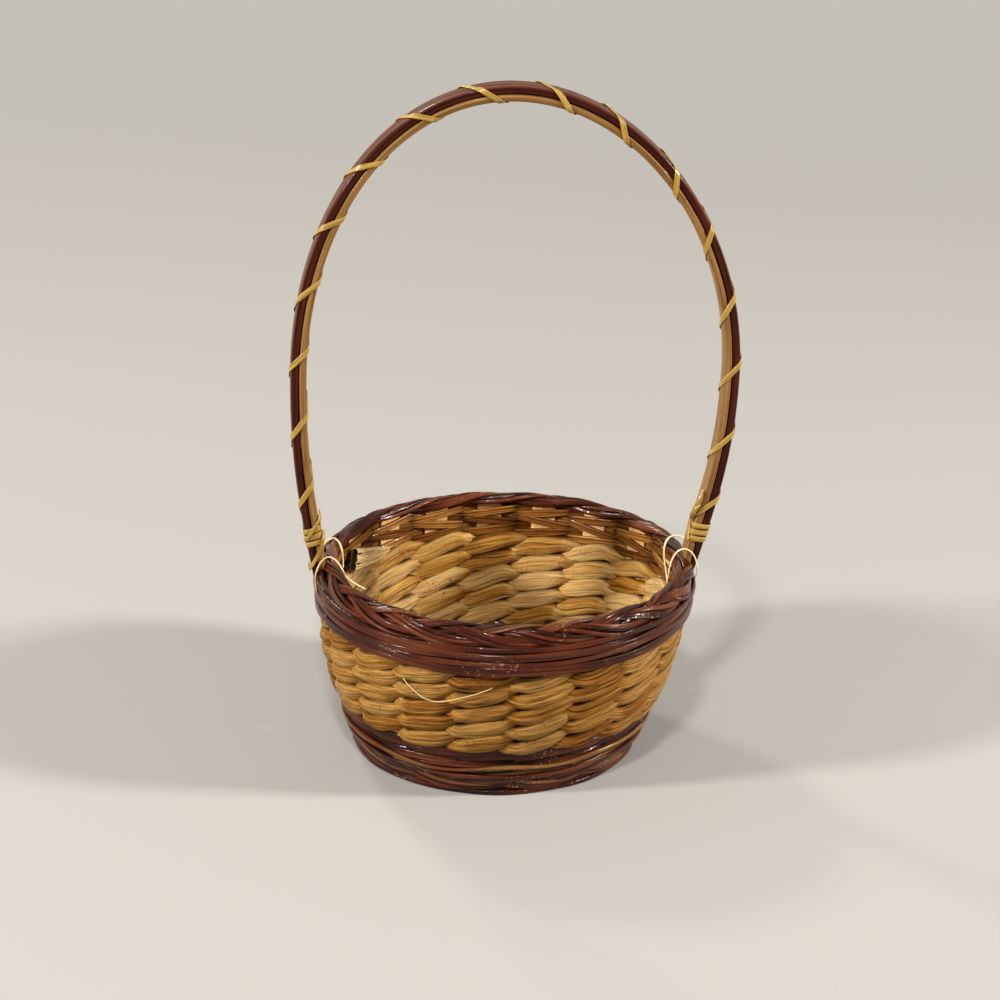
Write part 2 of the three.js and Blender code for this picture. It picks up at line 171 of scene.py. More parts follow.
def makeFloor():
    material, tree, shader = startMaterial("paleFloor")
    seen = seenDirectly(tree)
    shown = blend(tree, seen, colour(*studio["floorBounce"]), colour(*studio["floorColour"]))
    feed(tree, shader, {"Base Color": shown, "Roughness": studio["floorRoughness"]})
    place = addNode(tree, "TexCoord").outputs["Object"]
    away = addNode(tree, "VectorMath", {0: place}, operation="LENGTH").outputs["Value"]
    near, far = studio["floorFade"]
    blended = addNode(tree, "MapRange", {"Value": away, "From Min": near, "From Max": far},
                    interpolation_type="SMOOTHSTEP").outputs[0]
    glow = addNode(tree, "Emission", {"Color": colour(*studio["backgroundColour"]), "Strength": 1})
    share = times(tree, blended, seen)
    mixed = addNode(tree, "MixShader", {0: share, 1: shader.outputs[0], 2: glow.outputs[0]})
    feed(tree, tree.nodes["Material Output"], {"Surface": mixed.outputs[0]})
    mesh = bpy.data.meshes.new("floor")
    reach = studio["floorReach"]
    mesh.from_pydata([(-reach, -reach, 0), (reach, -reach, 0), (reach, reach, 0), (-reach, reach, 0)],
                     [], [(0, 1, 2, 3)])
    mesh.materials.append(material)
    addObject("floor", mesh)


scene.view_settings.view_transform = "Standard"
makeCamera()
makeWorld()
makeLamps()
makeFloor()
print("stage: camera and studio")

# Shape of the bowl, in millimetres, as the CAD has it

bowl = {
    "stakes": 19,
    "firstStake": math.radians(90.5),
    "stakeThickness": 1.3,
    "footRadius": 81.3,
    "rimRadius": 105.7,
    "flare": [(0, 0), (16, 0.242), (32, 0.488), (50, 0.734), (70, 0.906), (90, 0.975), (112, 1)],
    "rimHeight": 119,
    "rimLean": 6.3,
    "rimCentreX": -3.5,
}
stakePitch = 2 * math.pi / bowl["stakes"]


def wallRadius(z):
    heights, shares = zip(*bowl["flare"])
    share = np.interp(z, heights, shares)
    return bowl["footRadius"] + share * (bowl["rimRadius"] - bowl["footRadius"])


def axisX(z):
    return bowl["rimCentreX"] + bowl["rimLean"] * (z / bowl["rimHeight"] - 1)


def ringPoints(angle, radius, z):
    return np.stack([axisX(z) + radius * np.cos(angle), radius * np.sin(angle), z + 0 * angle], -1)


def outwardAt(angle):
    return np.stack([np.cos(angle), np.sin(angle), 0 * angle], -1)


def unit(vectors):
    return vectors / np.linalg.norm(vectors, axis=-1, keepdims=True)


def smoothStep(low, high, value):
    share = np.clip((value - low) / (high - low), 0, 1)
    return share * share * (3 - 2 * share)


# Keeps the sign: powers below 1 square a curve off
def signedPower(value, power):
    return np.sign(value) * np.abs(value) ** power


# Points round a section, from -1 to 1: lift away from what it lies on, and across
def roundSection(sides, liftPower=1, acrossPower=1):
    around = np.linspace(0, 2 * np.pi, sides, endpoint=False)
    return signedPower(np.cos(around), liftPower), signedPower(np.sin(around), acrossPower)


# Outline of a strand, squarer than an oval where a power is below 1
def oval(sides, halfThickness, halfWidth, *powers):
    lift, across = roundSection(sides, *powers)
    return np.stack([lift * halfThickness, across * halfWidth], -1)


# Mean over a stretch of stations, going round a closed row
def smoothRound(values, width):
    half = width // 2
    wrapped = np.concatenate([values[-half:], values, values[:half]])
    return np.convolve(wrapped, np.ones(width) / width, "valid")


def interpolate(distance, reach, points):
    return np.stack([np.interp(distance, reach, column) for column in points.T], -1)


def tangents(centre, closed):
    if closed:
        return unit(np.roll(centre, -1, 0) - np.roll(centre, 1, 0))
    return unit(np.gradient(centre, axis=0))


# Sections set square to a path: outline holds (outward, across) offsets for each station
def sweep(centre, outward, outline, closed):
    tangent = tangents(centre, closed)
    across = unit(np.cross(tangent, outward))
    normal = np.cross(across, tangent)
    return centre[:, None] + normal[:, None] * outline[..., 0:1] + across[:, None] * outline[..., 1:2]


def pathLength(centre, closed):
    ends = np.roll(centre, -1, 0) if closed else centre[1:]
    steps = np.linalg.norm(ends - centre[:len(ends)], axis=1)
    return np.concatenate([[0], np.cumsum(steps)])


# One skin: sections (stations, sides, 3), with values for the shader at each point; girth in millimetres
def skin(sections, centre, closed, girth, tone, shade=0.0, second=0.0):
    stations, sides = sections.shape[:2]
    return {
        "sections": sections,
        "along": pathLength(centre, closed),
        "around": np.linspace(0, girth, sides + 1),
        "closed": closed,
        "tone": np.broadcast_to(tone[:, None] if np.ndim(tone) == 1 else tone, (stations, sides)),
        "shade": np.broadcast_to(shade, (stations, sides)),
        "second": np.broadcast_to(second, (stations, sides)),  # share of the finish's second colour
    }


# A strand along a path, with one outline or one for each station; looks are girth, tone, shade and second
def strand(centre, outward, outline, closed, *looks):
    outline = np.broadcast_to(outline, (len(centre), *outline.shape[-2:]))
    return skin(sweep(centre, outward, outline, closed), centre, closed, *looks)


def buildPiece(name, skins, material, replaced=()):
    points, faces, corners = [], [], []
    values = {"tone": [], "shade": [], "second": []}  # the attributes that the finishes read
    offset = 0
    for part in skins:
        stations, sides = part["sections"].shape[:2]
        points.append(part["sections"].reshape(-1, 3) * mm)
        for label in values:
            values[label].append(part[label].reshape(-1))
        spans = stations if part["closed"] else stations - 1
        row, side = np.meshgrid(np.arange(spans), np.arange(sides), indexing="ij")
        steps = ((0, 0), (0, 1), (1, 1), (1, 0))  # from a point to the corners of its face
        quads = np.stack([(row + a) % stations * sides + (side + b) % sides for a, b in steps], -1)
        faces.extend((quads.reshape(-1, 4) + offset).tolist())
        along, around = part["along"] * mm, part["around"] * mm
        places = [np.stack([along[row + a], around[side + b]], -1) for a, b in steps]
        corners.append(np.stack(places, 2).reshape(-1, 2))
        if not part["closed"]:
            faces.append([offset + k for k in reversed(range(sides))])
            faces.append([offset + (stations - 1) * sides + k for k in range(sides)])
            corners.append(np.zeros((2 * sides, 2)))
        offset += stations * sides
    mesh = bpy.data.meshes.new(name)
    mesh.from_pydata(np.concatenate(points).tolist(), [], faces)
    mesh.polygons.foreach_set("use_smooth", np.ones(len(faces), bool))
    layer = mesh.uv_layers.new(name="fibre")
    layer.data.foreach_set("uv", np.concatenate(corners).astype(np.float32).reshape(-1))
    for label, parts in values.items():
        stored = mesh.attributes.new(label, "FLOAT", "POINT")
        stored.data.foreach_set("value", np.concatenate(parts).astype(np.float32))
    mesh.update()
    flipInwardFaces(mesh)
    mesh.materials.append(material)
    piece = addObject(name, mesh)
    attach(piece, "root")
    if replaced:
        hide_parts(*replaced)


def flipInwardFaces(mesh):
    mesh.calc_loop_triangles()
    triangles = np.zeros(len(mesh.loop_triangles) * 3, np.int32)
    mesh.loop_triangles.foreach_get("vertices", triangles)
    points = np.zeros(len(mesh.vertices) * 3)
    mesh.vertices.foreach_get("co", points)
    corners = points.reshape(-1, 3)[triangles.reshape(-1, 3)]
    volume = np.einsum("ij,ij->i", corners[:, 0], np.cross(corners[:, 1], corners[:, 2])).sum()
    if volume < 0:
        mesh.flip_normals()


# Materials

def ramp(tree, value, stops):
    node = addNode(tree, "ValToRGB", {0: value})
    elements = node.color_ramp.elements
    while len(elements) < len(stops):
        elements.new(0.5)
    for element, (place, shown) in zip(elements, stops):
        element.position = place
        element.color = shown
    return node.outputs["Color"]


# Ramp through colours of a finish: (place, name)
def finishRamp(tree, value, finish, *stops):
    return ramp(tree, value, [(place, colour(*finish[name])) for place, name in stops])


# 0 below the low value and 1 above the high one
def mask(tree, value, low, high):
    return ramp(tree, value, [(low, (0, 0, 0, 1)), (high, (1, 1, 1, 1))])


def multiply(tree, first, second, share=1.0):
    return blend(tree, share, first, second, "MULTIPLY")


def attribute(tree, name):
    return addNode(tree, "Attribute", attribute_name=name).outputs["Fac"]


# Noise drawn out along a strand's fibres: scales per metre along and around it, then what the node takes
def fibreNoise(tree, along, around, detail, roughness, distortion=0.0):
    place = addNode(tree, "UVMap", uv_map="fibre").outputs["UV"]
    stretched = addNode(tree, "VectorMath", {0: place, 1: (along, around, 1)}, operation="MULTIPLY")
    return addNode(tree, "TexNoise", {
        "Vector": stretched.outputs[0], "Scale": 1, "Detail": detail, "Roughness": roughness,
        "Distortion": distortion,
    }, noise_dimensions="2D").outputs["Fac"]


def spotNoise(tree, scale, detail=2.0):
    place = addNode(tree, "TexCoord").outputs["Object"]
    return addNode(tree, "TexNoise", {"Vector": place, "Scale": scale, "Detail": detail}).outputs["Fac"]


def bump(tree, height, distance, strength, **below):
    inputs = {"Height": height, "Distance": distance, "Strength": strength, **below}
    return addNode(tree, "Bump", inputs).outputs[0]


# Small spots that come in patches; layers hold the scale per metre and the mask of each
def spots(tree, layers, share):
    small, large = (mask(tree, spotNoise(tree, scale), low, high) for scale, low, high in layers)
    return times(tree, times(tree, small, large), share)


# Roughness between two values, as a noise runs over its usual range
def roughen(tree, noise, low, high):
    return addNode(tree, "MapRange", {"Value": noise, "From Min": 0.3, "From Max": 0.7,
                                      "To Min": low, "To Max": high}).outputs[0]


leafFinish = {
    "deep": (108, 57, 7),
    "golden": (188, 131, 45),
    "light": (232, 188, 106),
    "pale": (222, 188, 128),
    "paleShare": 0.62,
    "grain": (14, 420, 4, 0.6, 0.3),
    "fibres": (60, 2600, 3, 0.6),
    "brown": (0.74, 0.66, 0.5, 1),  # what a stitch of tone 0 is multiplied by
    "agedAndShaded": (0.68, 0.57, 0.38, 1),  # what the outer face is multiplied by: painted shade, with some weathering, that keeps it darker than the inner face
    "streaks": [(0.38, (0.28, 0.17, 0.06, 1)), (0.5, (0.93, 0.92, 0.9, 1)), (0.66, (1.36, 1.4, 1.66, 1))],
    "streakShare": 0.45,
    "outerStreaks": 0.35,  # what the outer face adds to that share
    "speck": (84, 42, 8),
    "specks": [(620, 0.56, 0.64), (75, 0.52, 0.66)],  # single specks, and the patches they come in
    "speckShare": 0.65,
    # painted shade: the dark colour that edges, grooves and hollows are blended towards
    "creviceShade": (38, 15, 2),
    "roughness": (0.62, 0.44),
    "specular": 0.1,
}


def makeLeafMaterial():
    material, tree, shader = startMaterial("leafStrand")
    finish = leafFinish
    grain, fibres = fibreNoise(tree, *finish["grain"]), fibreNoise(tree, *finish["fibres"])
    tone, outside = attribute(tree, "tone"), attribute(tree, "second")
    base = finishRamp(tree, grain, finish, (0.28, "deep"), (0.47, "golden"), (0.72, "light"))
    toned = blend(tree, times(tree, tone, finish["paleShare"]), base, colour(*finish["pale"]))
    toned = multiply(tree, toned, ramp(tree, tone, [(0, finish["brown"]), (0.3, (1, 1, 1, 1))]))
    # painted shade, with some weathering, on the outer face
    toned = multiply(tree, toned, finish["agedAndShaded"], outside)
    share = calculate(tree, "ADD", times(tree, outside, finish["outerStreaks"]), finish["streakShare"])
    shown = multiply(tree, toned, ramp(tree, fibres, finish["streaks"]), share)
    shown = blend(tree, spots(tree, finish["specks"], finish["speckShare"]), shown, colour(*finish["speck"]))
    # the shade attribute blends painted shade into the colour
    feed(tree, shader, {
        "Base Color": blend(tree, attribute(tree, "shade"), shown, colour(*finish["creviceShade"])),
        "Roughness": roughen(tree, grain, *finish["roughness"]),
        "Specular IOR Level": finish["specular"],
        "Normal": bump(tree, fibres, 0.0004, 0.9, Normal=bump(tree, grain, 0.0009, 0.8)),
    })
    return material


rodFinish = {
    "dark": (30, 5, 0),
    "maroon": (62, 13, 1),
    "red": (98, 42, 16),
    "purple": (96, 50, 28),
    "tan": (144, 98, 48),
    "bareDark": (88, 44, 12),  # bare wood, where a rod faces into the basket
    "bare": (156, 98, 38),
    "bareLight": (202, 144, 74),
    "grain": (30, 900, 4, 0.6, 0.2),
    "ridges": (12, 700, 2, 0.5),
    # the darker stops are fibre streaks; the brightest one paints pale highlight lines along the rods
    "streaks": [(0.3, (0.42, 0.36, 0.32, 1)), (0.6, (1.1, 1.05, 1, 1)), (0.72, (2.1, 2.5, 3, 1))],
    "streakShare": 0.7,
    "redShare": 0.35,
    "chip": (186, 128, 84),
    "chips": [(520, 0.6, 0.66), (38, 0.56, 0.66)],
    "chipShare": 0.8,
    # painted shade: the dark colour that rod edges, grooves and dips are blended towards
    "creviceShade": (10, 3, 1),
    "roughness": (0.38, 0.26),
    "specular": 0.1,
    "specularTint": (1, 0.68, 0.46, 1),
    "varnish": 0.36,
    "varnishRoughness": 0.08,
}


def makeRodMaterial():
    material, tree, shader = startMaterial("varnishedRod")
    finish = rodFinish
    tone = attribute(tree, "tone")
    varnished = finishRamp(tree, tone, finish, (0, "dark"), (0.3, "maroon"), (0.52, "red"), (0.72, "purple"),
                           (1, "tan"))
    bare = finishRamp(tree, tone, finish, (0, "bareDark"), (0.4, "bare"), (0.8, "bareLight"))
    base = blend(tree, attribute(tree, "second"), varnished, bare)
    grain = fibreNoise(tree, *finish["grain"])
    shown = multiply(tree, base, ramp(tree, grain, finish["streaks"]), finish["streakShare"])
    share = times(tree, mask(tree, spotNoise(tree, 160, 3), 0.55, 0.72), finish["redShare"])
    shown = blend(tree, share, shown, colour(*finish["red"]))
    shown = blend(tree, spots(tree, finish["chips"], finish["chipShare"]), shown, colour(*finish["chip"]))
    ridges = bump(tree, fibreNoise(tree, *finish["ridges"]), 0.0005, 0.6)
    # the shade attribute blends painted shade into the colour
    feed(tree, shader, {
        "Base Color": blend(tree, attribute(tree, "shade"), shown, colour(*finish["creviceShade"])),
        "Roughness": roughen(tree, grain, *finish["roughness"]),
        "Coat Weight": finish["varnish"],
        "Coat Roughness": finish["varnishRoughness"],
        "Specular IOR Level": finish["specular"],
        "Specular Tint": finish["specularTint"],
        "Normal": ridges,
        # the varnish lies unevenly, which breaks up the glints
        "Coat Normal": bump(tree, spotNoise(tree, 330), 0.0006, 0.55, Normal=ridges),
    })
    return material


splintFinish = {
    "light": (250, 206, 138),
    "golden": (240, 186, 110),
    "deep": (206, 146, 76),
    "cloud": (0.88, 0.85, 0.8, 1),
    "grainAcross": 150,
    "grainUp": 22,
    "roughness": 0.55,
}


# Flat splints that stand up the wall, with the grain running up them
def makeSplintMaterial():
    material, tree, shader = startMaterial("paleSplint")
    finish = splintFinish
    x, y, z = addNode(tree, "SeparateXYZ", {0: addNode(tree, "TexCoord").outputs["Object"]}).outputs
    across = times(tree, calculate(tree, "ARCTAN2", y, x), finish["grainAcross"])
    stretched = addNode(tree, "CombineXYZ", {0: across, 1: times(tree, z, finish["grainUp"])}).outputs[0]
    grain = addNode(tree, "TexNoise", {"Vector": stretched, "Scale": 1, "Detail": 3}).outputs["Fac"]
    base = finishRamp(tree, grain, finish, (0.3, "deep"), (0.45, "golden"), (0.65, "light"))
    clouds = ramp(tree, spotNoise(tree, 60), [(0.35, finish["cloud"]), (0.65, (1, 1, 1, 1))])
    feed(tree, shader, {
        "Base Color": multiply(tree, base, clouds),
        "Roughness": finish["roughness"],
        "Normal": bump(tree, grain, 0.0003, 0.6),
    })
    return material


bowFinish = {
    "grain": (9, 600, 4, 0.6, 0.2),
    "knots": (70, 260, 1, 0.5),
    "knotShare": 0.75,
    "roughness": 0.5,
    "varnish": 0.2,
    "varnishRoughness": 0.15,
    # each wood's litFace colour is painted light on the crest of the outward face
    "maroonBow": {
        "dark": (30, 5, 0),
        "middle": (56, 13, 3),
        "light": (88, 34, 14),
        "litFace": (106, 64, 42),
        "specular": 0.05,
    },
    "tanBow": {
        "dark": (98, 62, 22),
        "middle": (136, 94, 44),
        "light": (164, 124, 70),
        "litFace": (150, 110, 56),
        "specular": 0.15,
    },
}


def makeBowMaterial(name):
    material, tree, shader = startMaterial(name)
    finish, wood = bowFinish, bowFinish[name]
    grain = fibreNoise(tree, *finish["grain"])
    base = finishRamp(tree, grain, wood, (0.3, "dark"), (0.5, "middle"), (0.75, "light"))
    blended = finishRamp(tree, grain, wood, (0.3, "middle"), (0.55, "litFace"))
    base = blend(tree, attribute(tree, "second"), base, blended)  # painted light: the crest of the outward face is painted lighter, where light would catch it
    knots = times(tree, mask(tree, fibreNoise(tree, *finish["knots"]), 0.7, 0.76), finish["knotShare"])
    feed(tree, shader, {
        "Base Color": blend(tree, knots, base, colour(*wood["dark"])),
        "Roughness": finish["roughness"],
        "Specular IOR Level": wood["specular"],
        "Coat Weight": finish["varnish"],
        "Coat Roughness": finish["varnishRoughness"],
        "Normal": bump(tree, grain, 0.0003, 0.5),
    })
    return material


caneFinish = {
    "grain": (25, 1500, 3, 0.6),
    "roughness": 0.36,
    "varnish": 0.25,
    "varnishRoughness": 0.25,
    "yellowCane": {"dark": (126, 88, 20), "yellow": (170, 131, 42), "light": (190, 157, 76)},
    "paleCane": {"dark": (196, 158, 88), "yellow": (230, 202, 142), "light": (246, 228, 182)},
}


def makeCaneMaterial(name):
    material, tree, shader = startMaterial(name)
    finish = caneFinish
    grain = fibreNoise(tree, *finish["grain"])
    feed(tree, shader, {
        "Base Color": finishRamp(tree, grain, finish[name], (0.3, "dark"), (0.48, "yellow"), (0.7, "light")),
        "Roughness": finish["roughness"],
        "Coat Weight": finish["varnish"],
        "Coat Roughness": finish["varnishRoughness"],
        "Normal": bump(tree, grain, 0.0002, 0.6),
    })
    return material


leafMaterial = makeLeafMaterial()
rodMaterial = makeRodMaterial()
splintMaterial = makeSplintMaterial()
maroonMaterial = makeBowMaterial("maroonBow")
tanMaterial = makeBowMaterial("tanBow")
caneMaterial = makeCaneMaterial("yellowCane")
hoopMaterial = makeCaneMaterial("paleCane")
print("stage: materials")

# Stakes: the CAD's splints, with grain

for name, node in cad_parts.items():
    if name.startswith("stake_"):
        node.data.materials.clear()
        node.data.materials.append(splintMaterial)


# Leaf rows: a thick twisted strand goes round twice, outside one stake and inside the next

leafRows = {
    "rows": 5,
    "bottom": 34.6,
    "height": 56.5,
    "stationsPerStitch": 28,
    "faceSides": 24,
    "halfWidth": 6.5,
    "crossingHalfWidth": 4.4,
    "climb": 3.2,
    "late": 0.02,  # a stitch is highest this share of its length after it meets its partner
    "early": 0.09,  # a strand changes sides this share of a stitch before it meets its partner
    "shear": 0.3,  # how far a stitch's upper edge runs ahead of its lower one, as a share of its height
    # distance of the face from the stakes' middle, by share of the way from a face stitch to a back one
    "faceReach": [(0, 6.6), (0.18, 6.5), (0.33, 6.1), (0.45, 5.1), (0.53, 3.9), (0.62, 2.0), (0.73, 0.2),
                  (0.86, -0.6), (1, -0.8)],
    "slant": 0.14,
    "edgeShade": 0.85,
    "creaseShade": 0.8,
    "roundness": 2.9,
    "straightness": 0.95,  # 0 lets a strand wave along, 1 takes it straight up across each stitch
    "edgeHighlight": 0.7,  # painted highlight: a pale line along each stitch's lower edge, where light catches it
    "squash": 0.04,  # the rows lie closer together outside than inside
    "width": (0.91, 1.1),  # uneven stitches: each draws its own share or offset between two values
    "plump": (0.86, 1.08),
    "drift": (-0.7, 0.7),
    "tilt": (-0.7, 0.9),
    "creases": 3,
    # place, skew, bend, depth, breadth and lap of each crease
    "creaseRanges": [(-0.8, 0.8), (-0.5, 0.7), (-0.9, 0.9), (0.05, 0.5), (0.04, 0.09), (-0.6, 0.6)],
    "laps": 2,
}


# Values drawn for each stitch, carried along the strand and changing quickly between stitches
def perStitch(stitches, turn, limits, power=1):
    values = random.uniform(*limits, stitches) ** power
    first = np.floor(turn).astype(int)
    share = smoothStep(0.36, 0.64, turn - first)
    return values[first % stitches] * (1 - share) + values[(first + 1) % stitches] * share


def leafRow(row):
    settings = leafRows
    stitches = 2 * bowl["stakes"]
    bottom = settings["bottom"]
    middle = bottom + settings["height"] / settings["rows"] * (row + 0.5)
    turn = np.arange(stitches * settings["stationsPerStitch"]) / settings["stationsPerStitch"]
    stitch = np.floor(turn + 0.5).astype(int) % stitches
    place = turn - np.floor(turn + 0.5)  # -0.5 to 0.5 within the stitch
    swing = np.cos(np.pi * (turn + settings["early"]))  # 1 outside a stake, -1 inside
    width, plump, drift, tilt = (perStitch(stitches, turn, settings[name])
                                 for name in ("width", "plump", "drift", "tilt"))
    tone = perStitch(stitches, turn, (0, 1), 1.4)
    angle = bowl["firstStake"] + turn * stakePitch
    straight = settings["straightness"]
    climb = np.arcsin(straight * np.sin(np.pi * (turn - settings["late"]))) / np.arcsin(straight)
    z = middle + settings["climb"] * climb + drift + tilt * np.sin(2 * np.pi * place)
    slim = settings["crossingHalfWidth"]
    halfWidth = (slim + (settings["halfWidth"] - slim) * np.cos(np.pi * place)) * width
    faceSides, power = settings["faceSides"], settings["roundness"]
    shares = np.linspace(-1, 1, faceSides + 1)[None, :-1]
    across = np.concatenate([shares, -shares], 1)  # up the outer face, then down the inner one
    lift = (1 - np.abs(across) ** power) ** (1 / power)
    lift[:, faceSides:] *= -1
    # the ends of a stitch run out along a slant: its upper part last on the right, seen from either side
    slant = settings["slant"] * across
    outer = faceReach(turn[:, None] + settings["early"] - slant)
    inner = -faceReach(turn[:, None] + settings["early"] + slant + 1)
    fade = smoothStep(0.5, 0.34, np.abs(place))[:, None]
    crease, groove = (fade * part for part in leafCreases(stitches, stitch, place, across))
    half = (outer - inner) / 2
    depth = lift * (half * plump[:, None] + crease * np.minimum(1, 2 * np.abs(lift)))
    # the middle stays where the back of the strand touches its stake
    middleReach = (outer + inner) / 2 + (swing * (plump - 1))[:, None] * half
    ahead = settings["shear"] * across * (halfWidth * swing)[:, None]
    closer = 1 - settings["squash"] * smoothStep(-1, 1, swing)[:, None]
    height = bottom + (z[:, None] + across * halfWidth[:, None] - bottom) * closer
    radius = wallRadius(height) + middleReach + depth
    sections = ringPoints(angle[:, None] + ahead / radius, radius, height)
    centre = ringPoints(angle, wallRadius(z), z)
    # painted shade towards each stitch's edges, where it meets its neighbours, and in its grooves
    shade = np.clip(settings["edgeShade"] * np.abs(across) ** 9 + settings["creaseShade"] * groove, 0, 0.9)
    agedAndShaded = smoothStep(-0.3, 0.3, lift)  # painted shade, with some weathering: the outer face is painted darker than the inner one, standing in for the stronger light inside
    # painted highlight just above the lower edge of each stitch
    tones = tone[:, None] + settings["edgeHighlight"] * np.exp(-((across + 0.84) / 0.08) ** 2)
    return skin(sections, centre, True, 26, tones, shade, agedAndShaded)


def faceReach(turn):
    shares, reaches = zip(*leafRows["faceReach"])
    return np.interp(np.abs((turn + 1) % 2 - 1), shares, reaches)


# Long folds of the leaf: grooves and laps that run nearly along each stitch
def leafCreases(stitches, stitch, place, across):
    height = np.zeros((len(place), across.shape[1]))
    groove = np.zeros_like(height)
    for number in range(leafRows["creases"]):
        spot, skew, bend, depth, breadth, lap = (random.uniform(*limits, stitches)[stitch][:, None]
                                                 for limits in leafRows["creaseRanges"])
        distance = across - spot - skew * place[:, None] - bend * place[:, None] ** 2
        groove += depth * np.exp(-(distance / breadth) ** 2)
        if number < leafRows["laps"]:
            height += lap * (smoothStep(-0.04, 0.04, distance) - 0.5) * (1 - distance * np.sign(lap))
    return height - groove, groove


for row in range(leafRows["rows"]):
    buildPiece(f"leafRow{row + 1}", [leafRow(row)], leafMaterial, [f"leaf_row_{row + 1}"])
print("stage: leaf rows")

# Dark rows: three flat rods travel together, each outside two stakes and inside the third

rodRows = {
    "stationsPerStake": 12,
    "sides": 28,
    "halfThickness": 1.25,
    "clearance": 0.25,
    "grooves": (-0.34, 0.36),  # a rod of these rows is three thin strips side by side
    "grooveDepth": 0.5,
    "grooveWidth": 0.09,
    "stripTones": [-0.06, 0.08, 0.0],
    "tones": (0.05, 0.6),
    "drift": (-0.5, 0.5),
    "smoothing": 13,
    "bareAbove": 85,  # rods higher than this have no varnish inside
    "rows": {
        # middle height, half width of a rod, half climb, direction, reach outside
        "foot": [(5.2, 1.9, 1.7, 1, 0.6), (12.4, 1.9, 1.9, -1, 0.6), (22.3, 2.2, 2.0, 1, 1.0),
                 (30.4, 2.4, 2.4, 1, 1.0)],
        "upper": [(94.0, 2.5, 2.0, 1, 1.0), (100.2, 2.4, 2.2, -1, 1.0), (106.6, 2.4, 2.2, 1, 1.0)],
    },
}


def rodRow(middle, halfWidth, climb, direction, outer):
    settings = rodRows
    perStake = settings["stationsPerStake"]
    turn = np.arange(3 * bowl["stakes"] * perStake) / perStake
    phase = turn % 3  # 0 inside a stake, 1 and 2 outside
    inside = np.cos(np.pi * np.clip(np.minimum(phase, 3 - phase), 0, 1))
    swing = -signedPower(inside, 0.6)  # 1 outside, -1 inside
    thickness = settings["halfThickness"]
    reach = bowl["stakeThickness"] / 2 + settings["clearance"] + thickness
    angle = bowl["firstStake"] + direction * turn * stakePitch
    rise = np.where((phase >= 0.5) & (phase <= 2.5), phase - 1.5, -((phase + 1.5) % 3 - 1.5) * 2)
    count = bowl["stakes"]
    stitch = np.floor((turn + 0.5) / 3).astype(int) % count
    drift, tone = (smoothRound(random.uniform(*settings[name], count)[stitch], settings["smoothing"])
                   for name in ("drift", "tones"))
    z = middle + climb * rise + drift
    centre = ringPoints(angle, wallRadius(z) + reach * np.where(swing > 0, outer, 1) * swing, z)
    wide = halfWidth * (1 + 0.1 * np.sin(turn * 2.1) + 0.06 * np.sin(turn * 5.3))[:, None]
    lift, across = roundSection(settings["sides"], 1, 0.7)
    grooves = sum(np.exp(-((across - spot) / settings["grooveWidth"]) ** 2) for spot in settings["grooves"])
    grooves = grooves * smoothStep(0, 0.3, np.abs(lift))
    lifted = signedPower(lift, 0.6) * (1 - settings["grooveDepth"] * grooves)
    outline = np.stack([lifted * thickness + 0 * wide, across * wide], -1)
    strip = np.searchsorted(settings["grooves"], across)
    tone = tone[:, None] + np.array(settings["stripTones"])[strip]
    bare = smoothStep(-0.2, 0.4, -lift * direction) * (1 if middle > settings["bareAbove"] else 0.3)
    # painted shade where a rod passes behind a stake, along its edges and in the grooves between its strips
    shade = (1 - np.abs(swing[:, None])) ** 2 * 0.6 + np.abs(across) ** 8 * 0.4 + 0.6 * grooves
    return strand(centre, outwardAt(angle) * direction, outline, True, 12, tone, np.clip(shade, 0, 0.9), bare)


for band, rows in rodRows["rows"].items():
    for number, row in enumerate(rows, 1):
        buildPiece(f"{band}Row{number}", [rodRow(*row)], rodMaterial, [f"{band}_row_{number}"])
print("stage: dark rows")


# Painted shade for a round rod: darker along both edges, where it meets its neighbours
def edgeShade(sides):
    return np.abs(roundSection(sides)[1]) ** 6


